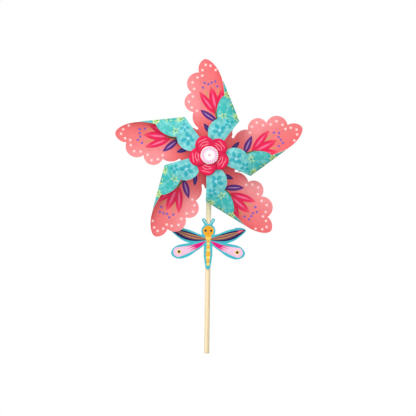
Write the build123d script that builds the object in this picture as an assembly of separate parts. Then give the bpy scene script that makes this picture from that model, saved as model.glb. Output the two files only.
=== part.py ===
"""Toy whirligig: a card pinwheel that spins on a pin through a wooden stick, with a dragonfly on the stick.

Units are millimetres. The origin is the centre of the stick's lower end, +Z runs up the stick,
and the wheel faces -Y. The wheel is drawn flat in its own frame (x right, y up, z towards the front)
and is then stood up in front of the stick by stand_wheel().
"""

import math
import os

from build123d import *

# --- driving dimensions ---
STICK_R = 3.0
STICK_TOP_R = 2.9
STICK_GRIP = 95.0  # even lower part that goes in a hole or a hand
STICK_LENGTH = 240.0
STICK_EDGE = 0.5  # chamfer on both ends of the stick
HUB_HEIGHT = 228.0  # axle above the stick's lower end
WHEEL_FRONT_OF_STICK = 11.0  # from the stick's axis to the back of the card

CARD = 0.45  # thickness of the pinwheel card
BLADES = 5
BLADE_PITCH = -360.0 / BLADES  # clockwise seen from the front
FIRST_BLADE = 22.0  # turn of the first blade's roll axis from vertical
BLADE_SWING = (0.5, -3.0, 1.0, -0.5, 2.0)  # hand-assembled blades are not quite evenly spaced

# One blade in its own frame: y runs along the axis of its roll, x from the hub towards the roll.
ROLL_EDGE = 46.6  # the furthest line of the roll
CORNER_Y = 24.7  # where the cut edge crosses the roll
TIP_END_Y = 78.2  # where the outer edge leaves the roll
BLADE_TOP_Y = 108.0
WEB_R = 26.0  # flat middle of the card that all blades share
SLOT_CENTRE = (-1.5, 34.8)  # rounded inner end of the cut between two blades
SLOT_R = 1.45
CUT_SIDE = 137.0  # where round the slot's end the cut edge leaves it, in degrees
CUT_BOW = (38.6, 20.2)  # the cut edge bows through here to the roll

# Stations of the roll along y: (y, lower width, lower height, upper width, upper height).
ROLL_STATIONS = (
    (-14.0, 12.6, 11.4, 34.0, 9.5),
    (22.0, 12.6, 11.4, 34.0, 9.5),
    (45.0, 22.0, 8.5, 27.0, 7.0),
    (BLADE_TOP_Y, 14.0, 1.8, 6.0, 1.4),
)

# Stack at the hub, measured forward from the back of the card.
TIP_STACK_START = 18.2
TIP_STEP = 0.55  # one flap tip on the next, with a little air
TIP_FLAT_X = 9.0  # flap tips lie flat within this distance of the axle
TIP_LOBE_R = 7.5
FLOWER_BACK = 21.0
FLOWER_THICK = 2.0
RUNNING_GAP = 0.2  # end play on each side of the wheel

# Axle pin, bush, spacer and cap
PIN_R = 1.5
BUSH_BORE_R = 1.56
BARREL_R = 3.0
NOSE_R = 2.2
FLANGE_R = 7.0
FLANGE_THICK = 1.0
HEAD_R = 10.0
HEAD_THICK = 1.8
HEAD_EDGE = 0.6
LABEL_R = 9.2
LABEL_THICK = 0.2
SPACER_R = 3.5
SPACER_SADDLE = 1.6  # how far in front of the stick's axis the spacer's end is
CAP_R = 4.5
CAP_THICK = 3.6
CAP_EDGE = 0.8
PIN_IN_CAP = 2.4
HOLE_PLAY = 0.1  # card holes over the bush
FLAP_END_X = -11.0  # how far past the axle a flap's section runs before it is trimmed
WEB_END_X = -20.0  # how far past the axle a back part's section runs before it is trimmed
TRIM_TALL = 40.0  # taller than any blade, for trimming it to its outline

# Hub flower: five round petals
PETAL_CENTRE_R = 13.0
PETAL_R = 10.2
FIRST_PETAL = 116.0
FLOWER_EDGE = 0.5

# Dragonfly cut-out, in a frame whose origin is the middle of its head
HEAD_HEIGHT = 141.5  # middle of the dragonfly's head above the stick's lower end
FLY_CARD = 1.2
PAD_THICK = 1.0
FLY_HEAD_R = 8.2
ANTENNA_R = 2.0
ANTENNA_TIP = (5.6, 12.9)
TAIL_ROUNDS = ((-11.0, 4.9), (-28.0, 5.0), (-40.8, 3.1))  # height below the head and radius, down the tail
PAD_WIDTH = 5.0
PAD_HEIGHT = 9.0
PAD_Y = (-14.0, -33.0)  # middle of each adhesive pad, below the head


def stand_wheel(shape):
    """Stands a shape from the wheel's flat frame up in front of the stick."""
    turned = Rotation(90, 0, 0) * shape
    return Pos(0, -WHEEL_FRONT_OF_STICK, HUB_HEIGHT) * turned


def ring(outer_r, inner_r, bottom, top):
    """A round spacer about the axle, from bottom to top along z."""
    wall = Circle(outer_r) - Circle(inner_r)
    return Pos(0, 0, bottom) * extrude(wall, top - bottom)


def blade_turn(index):
    """Turn of a blade about the axle, in degrees."""
    index = index % BLADES
    return FIRST_BLADE + BLADE_PITCH * index + BLADE_SWING[index]


def turned_point(point, degrees):
    """A point turned about the axle."""
    angle = math.radians(degrees)
    x, y = point
    return (x * math.cos(angle) - y * math.sin(angle), x * math.sin(angle) + y * math.cos(angle))


# --- the pinwheel card ---
def lower_section(station):
    """Card in cross-section from the hub side to the furthest line of the roll."""
    y, width, height, _, _ = station
    centre = (ROLL_EDGE - width, height)
    far = WEB_END_X
    outline = [
        Line((far, 0), (centre[0], 0)),
        EllipticalCenterArc(centre, width, height, start_angle=270, arc_size=90),
        Line((ROLL_EDGE, height), (ROLL_EDGE - CARD, height)),
        EllipticalCenterArc(centre, width - CARD, height - CARD, start_angle=270, arc_size=90),
        Line((centre[0], CARD), (far, CARD)),
        Line((far, CARD), (far, 0)),
    ]
    return section_plane(y) * make_face(Wire(outline))


def upper_section(station, tip_height):
    """Card in cross-section from the furthest line of the roll back over to the hub."""
    y, _, lower_height, width, height = station
    top_x = ROLL_EDGE - width
    top = lower_height + height
    centre = (top_x, lower_height)
    run = top_x - TIP_FLAT_X
    far = FLAP_END_X

    def descent(level, tip_level):
        leave = (top_x - 0.4 * run, level)
        arrive = (top_x - 0.6 * run, tip_level)
        return Bezier((top_x, level), leave, arrive, (TIP_FLAT_X, tip_level))

    outline = [
        EllipticalCenterArc(centre, width, height, start_angle=0, arc_size=90),
        descent(top, tip_height + CARD),
        Line((TIP_FLAT_X, tip_height + CARD), (far, tip_height + CARD)),
        Line((far, tip_height + CARD), (far, tip_height)),
        Line((far, tip_height), (TIP_FLAT_X, tip_height)),
        descent(top - CARD, tip_height),
        EllipticalCenterArc(centre, width - CARD, height - CARD, start_angle=0, arc_size=90),
        Line((ROLL_EDGE - CARD, lower_height), (ROLL_EDGE, lower_height)),
    ]
    return section_plane(y) * make_face(Wire(outline))


def section_plane(y):
    """The plane across a roll at y, with its own x along the blade's x and its own y forward."""
    return Plane(origin=(0, y, 0), x_dir=(1, 0, 0), z_dir=(0, -1, 0))


def base_outline(index):
    """Outline of the part of a blade that stays at the back, seen from the front."""
    past = ROLL_EDGE + 1.0
    next_slot = turned_point(SLOT_CENTRE, blade_turn(index + 1) - blade_turn(index))
    slot_side = Vector(next_slot) + Vector(SLOT_R, 0).rotate(Axis.Z, CUT_SIDE)
    valleys = ((-0.3, 35.6), (1.7, 53.8), (8.0, 75.3), (24.4, 93.6))
    bulges = ((-2.4, 44.4), (-4.5, 64.6), (8.3, 89.6))
    scallops = [ThreePointArc(valleys[i], bulges[i], valleys[i + 1]) for i in range(3)]
    tip_centre = (35.1, TIP_END_Y)
    tip_x, tip_y = ROLL_EDGE - tip_centre[0], 27.4
    tip_top = (tip_centre[0], tip_centre[1] + tip_y)
    edges = [
        Line((0, 0), SLOT_CENTRE),
        Line(SLOT_CENTRE, valleys[0]),
        *scallops,
        ThreePointArc(valleys[3], (27.6, 101.4), tip_top),
        EllipticalCenterArc(tip_centre, tip_x, tip_y, start_angle=0, arc_size=90),
        Line((ROLL_EDGE, TIP_END_Y), (past, TIP_END_Y)),
        Line((past, TIP_END_Y), (past, CORNER_Y)),
        Line((past, CORNER_Y), (ROLL_EDGE, CORNER_Y)),
        ThreePointArc((ROLL_EDGE, CORNER_Y), CUT_BOW, slot_side),
        Line(slot_side, next_slot),
        Line(next_slot, (0, 0)),
    ]
    return make_face(Wire(edges))


def flap_outline():
    """Outline of the part of a blade that comes back over to the hub, seen from the front."""
    past = ROLL_EDGE + 1.0
    first_valley = (41.7, 58.1)
    second_valley = (24.5, 35.1)
    lobe_side = (6.7, 19.4)
    edges = [
        Line((past, TIP_END_Y), (past, CORNER_Y)),
        Line((past, CORNER_Y), (0, -3.3)),
        Line((0, -3.3), (0, 7.0)),
        Line((0, 7.0), lobe_side),
        ThreePointArc(lobe_side, (11.5, 30.2), second_valley),
        ThreePointArc(second_valley, (29.3, 48.9), first_valley),
        ThreePointArc(first_valley, (44.8, 69.0), (ROLL_EDGE, TIP_END_Y)),
        Line((ROLL_EDGE, TIP_END_Y), (past, TIP_END_Y)),
    ]
    return make_face(Wire(edges)) + Circle(TIP_LOBE_R)


def blade(index):
    """One blade: its back part and the flap that its roll brings forward to the hub."""
    tip_height = TIP_STACK_START + TIP_STEP * index
    lower = loft([lower_section(s) for s in ROLL_STATIONS], ruled=True)
    upper = loft([upper_section(s, tip_height) for s in ROLL_STATIONS], ruled=True)
    lower = lower & (Pos(0, 0, -1) * extrude(base_outline(index), TRIM_TALL))
    upper = upper & (Pos(0, 0, -1) * extrude(flap_outline(), TRIM_TALL))
    upper = upper - Cylinder(NOSE_R + HOLE_PLAY, 2 * TRIM_TALL)
    return Rotation(0, 0, blade_turn(index)) * (lower + upper)


def pinwheel_card():
    """The whole die-cut card: five rolled blades and the flat web that joins them."""
    card = extrude(Circle(WEB_R), CARD)
    for index in range(BLADES):
        card = card + blade(index)
    for index in range(BLADES):
        x, y = turned_point(SLOT_CENTRE, blade_turn(index))
        card = card - Pos(x, y, 0) * Cylinder(SLOT_R, 8.0)
    return card - Cylinder(BARREL_R + HOLE_PLAY, 4.0)


# --- parts about the axle, in the wheel's frame ---
def hub_bush():
    """Flanged plastic bush that carries the card and holds the flap tips forward."""
    nose_end = FLOWER_BACK + FLOWER_THICK - RUNNING_GAP
    bush = ring(FLANGE_R, BUSH_BORE_R, -FLANGE_THICK, 0)
    bush = bush + ring(BARREL_R, BUSH_BORE_R, 0, TIP_STACK_START)
    return bush + ring(NOSE_R, BUSH_BORE_R, TIP_STACK_START, nose_end)


def hub_flower():
    """Five-petalled flower in front of the flap tips."""
    petals = [
        Pos(*turned_point((PETAL_CENTRE_R, 0), FIRST_PETAL + BLADE_PITCH * i)) * Circle(PETAL_R)
        for i in range(BLADES)
    ]
    face = Circle(PETAL_CENTRE_R)
    for petal in petals:
        face = face + petal
    flower = extrude(face - Circle(NOSE_R + HOLE_PLAY), FLOWER_THICK)
    front = flower.faces().sort_by(Axis.Z)[-1]
    flower = chamfer(front.outer_wire().edges(), FLOWER_EDGE)
    return Pos(0, 0, FLOWER_BACK) * flower


def head_back():
    """Back of the pin's head, forward of the back of the card."""
    return FLOWER_BACK + FLOWER_THICK + RUNNING_GAP


def axle_pin():
    """Plastic pin: a round head in front, and a shank through the wheel, the spacer and the stick."""
    head = Pos(0, 0, head_back()) * extrude(Circle(HEAD_R), HEAD_THICK)
    head = fillet(head.faces().sort_by(Axis.Z)[-1].edges(), HEAD_EDGE)
    shank_end = -WHEEL_FRONT_OF_STICK - STICK_R - PIN_IN_CAP
    shank = Pos(0, 0, shank_end) * extrude(Circle(PIN_R), head_back() - shank_end)
    return head + shank


def head_label():
    """Round printed label on the pin's head."""
    return Pos(0, 0, head_back() + HEAD_THICK) * extrude(Circle(LABEL_R), LABEL_THICK)


def spacer():
    """Tube that keeps the wheel clear of the stick and the dragonfly; its end is hollowed to the stick."""
    front = -FLANGE_THICK - RUNNING_GAP
    tube = ring(SPACER_R, PIN_R, SPACER_SADDLE - WHEEL_FRONT_OF_STICK, front)
    return stand_wheel(tube) - stick_rod()


def back_cap():
    """Cap pressed on the end of the pin behind the stick."""
    back = -WHEEL_FRONT_OF_STICK - STICK_R
    cap = Pos(0, 0, back - CAP_THICK) * extrude(Circle(CAP_R), CAP_THICK)
    cap = fillet(cap.faces().sort_by(Axis.Z)[0].edges(), CAP_EDGE)
    return cap - Pos(0, 0, back - PIN_IN_CAP) * extrude(Circle(PIN_R), PIN_IN_CAP)


# --- stick and dragonfly, in the row frame ---
def stick_rod():
    """Round wooden stick, even at the bottom and very slightly tapered above."""
    grip = extrude(Circle(STICK_R), STICK_GRIP)
    grip = chamfer(grip.edges().sort_by(Axis.Z)[0], STICK_EDGE)
    rest = STICK_LENGTH - STICK_GRIP
    taper = Pos(0, 0, STICK_GRIP + rest / 2) * Cone(STICK_R, STICK_TOP_R, rest)
    taper = chamfer(taper.edges().sort_by(Axis.Z)[-1], STICK_EDGE)
    return grip + taper


def stick():
    """The stick with the pin's cross hole near its top."""
    return stick_rod() - Pos(0, 0, HUB_HEIGHT) * Rotation(90, 0, 0) * Cylinder(PIN_R, 20.0)


def upper_wing():
    """Outline of the right front wing, slim and swept up."""
    edges = [
        Line((2.0, -5.5), (12.0, -3.0)),
        ThreePointArc((12.0, -3.0), (21.0, 0.8), (30.0, 3.3)),
        Spline([(30.0, 3.3), (38.0, 4.2), (43.2, 1.8), (38.4, -4.6), (27.0, -12.2), (14.0, -14.6)]),
        Line((14.0, -14.6), (2.0, -12.0)),
        Line((2.0, -12.0), (2.0, -5.5)),
    ]
    return make_face(Wire(edges))


def lower_wing():
    """Outline of the right hind wing, broad and drooping."""
    top = ((18.0, -13.0), (30.0, -15.4), (40.0, -20.0))
    tip_and_bottom = ((42.6, -26.5), (37.0, -31.6), (27.0, -31.2), (15.0, -24.0))
    edges = [
        Line((2.0, -10.0), (18.0, -13.0)),
        Spline([*top, *tip_and_bottom]),
        Spline([(15.0, -24.0), (8.0, -19.2), (2.0, -14.0)]),
        Line((2.0, -14.0), (2.0, -10.0)),
    ]
    return make_face(Wire(edges))


def dragonfly_outline():
    """Whole cut-out, seen from the front."""
    rounds = [Pos(0, y) * Circle(radius) for y, radius in TAIL_ROUNDS]
    tail = make_hull([edge for disc in rounds for edge in disc.edges()])
    antenna = make_hull([
        *(Pos(*ANTENNA_TIP) * Circle(ANTENNA_R)).edges(),
        *(Pos(1.0, 5.0) * Circle(ANTENNA_R)).edges(),
    ])
    right = upper_wing() + lower_wing() + antenna
    return Circle(FLY_HEAD_R) + tail + right + mirror(right, about=Plane.YZ)


def dragonfly():
    """Die-cut dragonfly of thick card."""
    card = extrude(dragonfly_outline(), FLY_CARD)
    back = -STICK_R - PAD_THICK
    return Pos(0, back, HEAD_HEIGHT) * Rotation(90, 0, 0) * card


def adhesive_pad(y):
    """A foam pad that holds the dragonfly on the stick, pressed to its round front."""
    depth = PAD_THICK + STICK_R
    block = Pos(0, -depth / 2, HEAD_HEIGHT + y) * Box(PAD_WIDTH, depth, PAD_HEIGHT)
    return (block - stick_rod()).solids().sort_by(Axis.Y)[0]


def main():
    os.makedirs("parts", exist_ok=True)
    nodes = {
        "pinwheel_card": stand_wheel(pinwheel_card()),
        "hub_bush": stand_wheel(hub_bush()),
        "hub_flower": stand_wheel(hub_flower()),
        "axle_pin": stand_wheel(axle_pin()),
        "head_label": stand_wheel(head_label()),
        "spacer_tube": spacer(),
        "back_cap": stand_wheel(back_cap()),
        "stick": stick(),
        "dragonfly": dragonfly(),
        "upper_pad": adhesive_pad(PAD_Y[0]),
        "lower_pad": adhesive_pad(PAD_Y[1]),
    }
    for name, shape in nodes.items():
        export_step(shape, f"parts/{name}.step")


main()
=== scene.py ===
import math

import bpy
import numpy as np
from mathutils import Euler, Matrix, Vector
from mathutils.geometry import delaunay_2d_cdt


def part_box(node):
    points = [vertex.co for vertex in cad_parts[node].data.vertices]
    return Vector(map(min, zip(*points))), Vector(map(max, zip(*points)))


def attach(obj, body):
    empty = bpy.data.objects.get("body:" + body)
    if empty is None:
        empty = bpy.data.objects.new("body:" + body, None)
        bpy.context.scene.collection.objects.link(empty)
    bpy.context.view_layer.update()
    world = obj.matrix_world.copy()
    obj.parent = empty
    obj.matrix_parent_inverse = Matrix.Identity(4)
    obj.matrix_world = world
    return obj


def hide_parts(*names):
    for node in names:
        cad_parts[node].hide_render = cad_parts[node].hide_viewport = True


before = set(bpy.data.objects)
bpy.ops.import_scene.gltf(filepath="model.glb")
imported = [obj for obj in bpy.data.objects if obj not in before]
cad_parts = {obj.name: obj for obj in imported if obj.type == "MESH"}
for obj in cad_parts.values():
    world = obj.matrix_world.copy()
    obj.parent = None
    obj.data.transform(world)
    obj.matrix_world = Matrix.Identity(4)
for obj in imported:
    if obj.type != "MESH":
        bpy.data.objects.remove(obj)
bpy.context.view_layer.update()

MM = 0.001

# Sizes of the wheel's card, in millimetres, in a blade's own frame:
# "across" runs from the hub to the roll, "along" runs along the roll to the tip.
BLADES = 5
PITCH = -72.0
FIRST_TURN = 22.0
SWING = (0.5, -3.0, 1.0, -0.5, 2.0)
CARD = 0.45
ROLL_EDGE = 46.6
CORNER = 24.7
TIP_END = 78.2
FAR_SIDE = -20.0
FLAP_END = -11.0
TIP_FLAT = 9.0
TIP_START = 18.2
TIP_STEP = 0.55
BARREL_HOLE = 3.1
NOSE_HOLE = 2.3
TIP_LOBE = 7.5
SLOT = (-1.5, 34.8)
SLOT_R = 1.45
CUT_SIDE = 137.0
CUT_BOW = (38.6, 20.2)
SLOT_SIDE = 34.0  # where round the slot's end the scalloped edge leaves it, in degrees
WRAP_PARTS = 5  # flat back, lower bend, upper bend, run to the hub, flat tip

# Outline of a blade as it is seen from the front.
VALLEYS = ((-0.3, 35.6), (1.7, 53.8), (8.0, 75.3), (24.4, 93.6))
BULGES = ((-2.4, 44.4), (-4.5, 64.6), (8.3, 89.6))
TIP_SHOULDER = (27.6, 101.4)
TIP_ACROSS = 35.1
TIP_TALL = 27.4
CORNER_EASE = 0.3  # keeps the cut's two ends from meeting in one point
FLAP_VALLEYS = ((41.7, 58.1), (24.5, 35.1), (6.7, 19.4))
FLAP_BULGES = ((44.8, 69.0), (29.3, 48.9), (11.5, 30.2))
LOBE_START = (0.26, 7.48)
LOBE_END = (7.42, 1.06)

# How wide and high the roll is, below and above its edge, at three places along it.
ROLL_AT = (22.0, 45.0, 108.0)
LOWER_WIDTH = (12.6, 22.0, 14.0)
LOWER_HEIGHT = (11.4, 8.5, 1.8)
UPPER_WIDTH = (34.0, 27.0, 6.0)
UPPER_HEIGHT = (9.5, 7.0, 1.4)

hub_low, hub_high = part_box("hub_bush")
_, card_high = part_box("pinwheel_card")
_, flower_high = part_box("hub_flower")
head_low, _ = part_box("head_label")
HUB = Vector(((hub_low.x + hub_high.x) / 2, card_high.y, (hub_low.z + hub_high.z) / 2))


def ink(red, green, blue):
    """A printed colour, given as it would be on a screen, for a shader."""
    linear = [c / 255 / 12.92 if c < 10 else ((c / 255 + 0.055) / 1.055) ** 2.4 for c in (red, green, blue)]
    return (*linear, 1.0)


CORAL = ink(239, 120, 122)
# painted light: a paler coral, laid where the coral side is painted as lit
LIT_CORAL = ink(245, 154, 158)
# painted shade, and near the hub partly the print's own deeper tone: a deeper coral
SHADED_CORAL = ink(230, 76, 84)
CRIMSON = ink(232, 14, 78)
ROSE = ink(248, 132, 178)
PURPLE = ink(88, 36, 130)
TULIP = ink(234, 22, 84)
LILAC = ink(206, 168, 226)
NIGHT = ink(52, 34, 120)
CORNFLOWER = ink(104, 92, 190)
OLIVE = ink(196, 160, 96)
LEAF_GREEN = ink(50, 138, 78)
TEAL = ink(58, 186, 182)
PALE_TEAL = ink(166, 222, 236)
SEA = ink(0, 166, 180)
MINT = ink(120, 206, 190)
PRIMROSE = ink(206, 226, 128)
WHITE_INK = ink(252, 226, 224)
BOARD = ink(246, 244, 238)
BLUSH = ink(252, 158, 176)
RUBY = ink(190, 8, 62)
LABEL_WHITE = ink(250, 246, 248)
LABEL_PINK = ink(222, 120, 178)
TURQUOISE = ink(66, 188, 202)
AMBER = ink(246, 170, 24)
STRAW = ink(250, 218, 108)
NAVY = ink(22, 16, 88)
COCOA = ink(160, 104, 88)
APRICOT = ink(244, 172, 84)
MAGENTA = ink(228, 0, 128)
PALE_PINK = ink(247, 198, 224)
INK_BLACK = ink(22, 20, 34)
FEELER = ink(206, 232, 228)
BIRCH = ink(252, 232, 194)
BIRCH_STREAK = ink(238, 206, 158)
PLASTIC_WHITE = ink(240, 240, 238)
FOAM = ink(236, 236, 230)
# a darker tan, laid towards the stick's foot
FOOT_TAN = ink(214, 184, 140)


# --- reckoning in node trees ---
class Field:
    """A socket that can be reckoned with, so that a rule in a node tree reads as it would on paper."""

    def __init__(self, tree, socket):
        self.tree = tree
        self.socket = socket

    def math(self, operation, *others, clamp=False):
        node = self.tree.nodes.new("ShaderNodeMath")
        node.operation = operation
        node.use_clamp = clamp
        for place, value in zip(node.inputs, (self, *others)):
            feed(self.tree, place, value)
        return Field(self.tree, node.outputs[0])

    def __add__(self, other):
        return self.math("ADD", other)

    def __sub__(self, other):
        return self.math("SUBTRACT", other)

    def __mul__(self, other):
        return self.math("MULTIPLY", other)

    def __truediv__(self, other):
        return self.math("DIVIDE", other)

    def __pow__(self, other):
        return self.math("POWER", other)

    __radd__ = __add__
    __rmul__ = __mul__

    def __rsub__(self, other):
        return (self * -1.0) + other

    def __rtruediv__(self, other):
        return (self ** -1.0) * other

    def size(self):
        return self.math("ABSOLUTE")

    def sin(self):
        return self.math("SINE")

    def cos(self):
        return self.math("COSINE")

    def share(self):
        """Held between 0 and 1."""
        return self.math("ADD", 0.0, clamp=True)

    def rise(self, low, high):
        """0 below low and 1 above high, smooth between; falls instead when low is the larger."""
        node = self.tree.nodes.new("ShaderNodeMapRange")
        node.interpolation_type = "SMOOTHSTEP"
        feed(self.tree, node.inputs["Value"], self)
        node.inputs["From Min"].default_value = low
        node.inputs["From Max"].default_value = high
        return Field(self.tree, node.outputs["Result"])


def feed(tree, place, value):
    if isinstance(value, Field):
        tree.links.new(value.socket, place)
    else:
        place.default_value = value


def parts_of(tree, vector):
    """The x, y and z of a vector socket."""
    node = tree.nodes.new("ShaderNodeSeparateXYZ")
    feed(tree, node.inputs[0], vector)
    return [Field(tree, out) for out in node.outputs]


def vector_of(tree, x, y, z):
    node = tree.nodes.new("ShaderNodeCombineXYZ")
    for place, value in zip(node.inputs, (x, y, z)):
        feed(tree, place, value)
    return Field(tree, node.outputs[0])


def far(x, y):
    """How far a place is from the origin."""
    return (x * x + y * y).math("SQRT")


def numbered(values):
    """Number sockets for a group, from their names and first values."""
    return [(name, "NodeSocketFloat", value) for name, value in values.items()]


def new_group(name, kind, inputs, outputs):
    """A node group with named sockets, its input node's outputs and its output node."""
    tree = bpy.data.node_groups.new(name, kind)
    for label, socket_type, value in inputs:
        socket = tree.interface.new_socket(label, in_out="INPUT", socket_type=socket_type)
        if value is not None:
            socket.default_value = value
    for label, socket_type in outputs:
        tree.interface.new_socket(label, in_out="OUTPUT", socket_type=socket_type)
    given = tree.nodes.new("NodeGroupInput")
    result = tree.nodes.new("NodeGroupOutput")
    return tree, {s.name: Field(tree, s) for s in given.outputs if s.name}, result


def node_of(tree, kind, settings=None, **values):
    """A node with its settings and inputs filled in."""
    node = tree.nodes.new(kind)
    for name, value in (settings or {}).items():
        setattr(node, name, value)
    for name, value in values.items():
        feed(tree, node.inputs[name.replace("_", " ")], value)
    return node


def run_tree(name, tree, start, body_values, materials):
    """Runs a Geometry Nodes tree on a mesh and returns the plain mesh that it makes."""
    carrier = bpy.data.objects.new(name + "_start", start)
    bpy.context.scene.collection.objects.link(carrier)
    modifier = carrier.modifiers.new(name, "NODES")
    modifier.node_group = tree
    sockets = {s.name: s.identifier for s in tree.interface.items_tree if s.in_out == "INPUT"}
    for label, value in body_values.items():
        modifier[sockets[label]] = value
    evaluated = carrier.evaluated_get(bpy.context.evaluated_depsgraph_get())
    mesh = bpy.data.meshes.new_from_object(evaluated)
    mesh.name = name
    bpy.data.objects.remove(carrier)
    mesh.materials.clear()
    for material in materials:
        mesh.materials.append(material)
    return mesh


def place_piece(name, mesh, body, node):
    """A finished piece on its body, in place of a CAD node."""
    piece = bpy.data.objects.new(name, mesh)
    bpy.context.scene.collection.objects.link(piece)
    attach(piece, body)
    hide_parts(node)
    return piece


# --- how the card rolls ---
def rolled(part, sizes, edge, card, tip, sine, cosine):
    """How far across and forward a place in the wrap is; works on plain numbers and on fields alike."""
    low_w, low_h, up_w, up_h = sizes
    half = card / 2
    run = edge - up_w - TIP_FLAT
    drop = low_h + up_h - card - tip
    lower, upper = part[1] * math.pi / 2, part[2] * math.pi / 2
    b = part[3]
    across = FAR_SIDE + (edge - low_w - FAR_SIDE) * part[0] + (low_w - half) * sine(lower)
    across = across - (up_w - half) * (1 - cosine(upper))
    across = across - run * (1.2 * (1 - b) ** 2 * b + 1.8 * (1 - b) * b**2 + b**3)
    across = across - (TIP_FLAT - FLAP_END) * part[4]
    forward = half + (low_h - half) * (1 - cosine(lower)) + (up_h - half) * sine(upper)
    forward = forward - drop * (3 * (1 - b) * b**2 + b**3)
    return across, forward


# The outline is laid flat with plain numbers, at this many steps along the wrap.
WRAPS = np.linspace(0.0, WRAP_PARTS, 501)


def rolled_line(along):
    """How far across, and how far along the sheet, each step of the wrap is at one place on the roll."""
    profiles = (LOWER_WIDTH, LOWER_HEIGHT, UPPER_WIDTH, UPPER_HEIGHT)
    sizes = [np.interp(along, ROLL_AT, profile) for profile in profiles]
    part = [np.clip(WRAPS - k, 0.0, 1.0) for k in range(WRAP_PARTS)]
    tip = TIP_START + 2 * TIP_STEP
    across, forward = rolled(part, sizes, ROLL_EDGE, CARD, tip, np.sin, np.cos)
    steps = np.hypot(np.diff(across), np.diff(forward))
    length = FAR_SIDE + np.concatenate(([0.0], np.cumsum(steps)))
    return across, length


def sheet_place(across, along, layer):
    """Where a point seen from the front lies on the flat sheet: on the back part or on the flap."""
    seen, length = rolled_line(along)
    edge = 200
    if layer == "back":
        return float(np.interp(across, seen[: edge + 1], length[: edge + 1])), along
    return float(np.interp(-across, -seen[edge:], length[edge:])), along


def turned(point, degrees):
    angle = math.radians(degrees)
    x, y = point
    return (x * math.cos(angle) - y * math.sin(angle), x * math.sin(angle) + y * math.cos(angle))


def arc_through(a, b, c, step=1.0):
    """Points on the circle from a through b to c, without c."""
    ax, ay, bx, by, cx, cy = *a, *b, *c
    d = 2 * (ax * (by - cy) + bx * (cy - ay) + cx * (ay - by))
    ux = ((ax**2 + ay**2) * (by - cy) + (bx**2 + by**2) * (cy - ay) + (cx**2 + cy**2) * (ay - by)) / d
    uy = ((ax**2 + ay**2) * (cx - bx) + (bx**2 + by**2) * (ax - cx) + (cx**2 + cy**2) * (bx - ax)) / d
    radius = math.hypot(ax - ux, ay - uy)
    start, middle, end = (math.atan2(y - uy, x - ux) for x, y in (a, b, c))
    sweep = (end - start) % math.tau
    if (middle - start) % math.tau > sweep:
        sweep -= math.tau
    count = max(3, int(abs(sweep) * radius / step))
    angles = [start + sweep * i / count for i in range(count)]
    return [(ux + radius * math.cos(t), uy + radius * math.sin(t)) for t in angles]


def run_to(a, b, step=1.5):
    """Points on the straight line from a to b, without b."""
    count = max(1, round(math.dist(a, b) / step))
    return [(a[0] + (b[0] - a[0]) * i / count, a[1] + (b[1] - a[1]) * i / count) for i in range(count)]


def round_about(centre, radius, start, end, step=0.8):
    """Points on an arc about a centre, in degrees, without the end."""
    count = max(3, int(abs(math.radians(end - start)) * radius / step))
    angles = [math.radians(start + (end - start) * i / count) for i in range(count)]
    return [(centre[0] + radius * math.cos(t), centre[1] + radius * math.sin(t)) for t in angles]


def back_outline():
    """Outline of the part of a blade that stays behind, from the hub round to the end of its roll."""
    reach = math.hypot(*SLOT)
    lean = math.degrees(math.atan2(SLOT[1], SLOT[0]))
    hub_edge = turned((BARREL_HOLE, 0), lean)
    slot_foot = turned((reach - SLOT_R, 0), lean)
    rim = run_to(hub_edge, slot_foot) + round_about(SLOT, SLOT_R, lean - 180, SLOT_SIDE)
    for start, bulge, end in zip(VALLEYS, BULGES, VALLEYS[1:]):
        rim += arc_through(start, bulge, end)
    wide = ROLL_EDGE - TIP_ACROSS
    rim += arc_through(VALLEYS[-1], TIP_SHOULDER, (TIP_ACROSS, TIP_END + TIP_TALL))
    sweep = [math.radians(90 - 90 * i / 26) for i in range(27)]
    rim += [(TIP_ACROSS + wide * math.cos(t), TIP_END + TIP_TALL * math.sin(t)) for t in sweep]
    return rim


def cut_edge():
    """The cut from the end of the roll to the next blade's slot, and on to the hub."""
    lean = math.degrees(math.atan2(SLOT[1], SLOT[0])) + PITCH
    next_slot = turned(SLOT, PITCH)
    corner = (ROLL_EDGE, CORNER - CORNER_EASE)
    side = math.radians(CUT_SIDE)
    enter = (next_slot[0] + SLOT_R * math.cos(side), next_slot[1] + SLOT_R * math.sin(side))
    rim = arc_through(corner, CUT_BOW, enter) + round_about(next_slot, SLOT_R, CUT_SIDE, lean + 180)
    slot_foot = turned((math.hypot(*SLOT) - SLOT_R, 0), lean)
    hub_edge = turned((BARREL_HOLE, 0), lean)
    return rim + run_to(slot_foot, hub_edge) + round_about((0, 0), BARREL_HOLE, lean, lean - PITCH)


def flap_outline():
    """Outline of the part of a blade that comes forward, from the end of its roll round its tip."""
    starts = ((ROLL_EDGE, TIP_END), *FLAP_VALLEYS)
    rim = []
    for start, bulge, end in zip(starts, FLAP_BULGES, FLAP_VALLEYS):
        rim += arc_through(start, bulge, end)
    rim += run_to(FLAP_VALLEYS[-1], LOBE_START) + round_about((0, 0), TIP_LOBE, 88, 368.1)
    return rim + run_to(LOBE_END, (ROLL_EDGE, CORNER - 2 * CORNER_EASE))


def inside(point, loop):
    """Whether a point is within a closed outline."""
    x, y = point
    hits = 0
    for (ax, ay), (bx, by) in zip(loop, loop[1:] + loop[:1]):
        if (ay > y) != (by > y) and x < ax + (y - ay) / (by - ay) * (bx - ax):
            hits += 1
    return hits % 2 == 1


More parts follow.
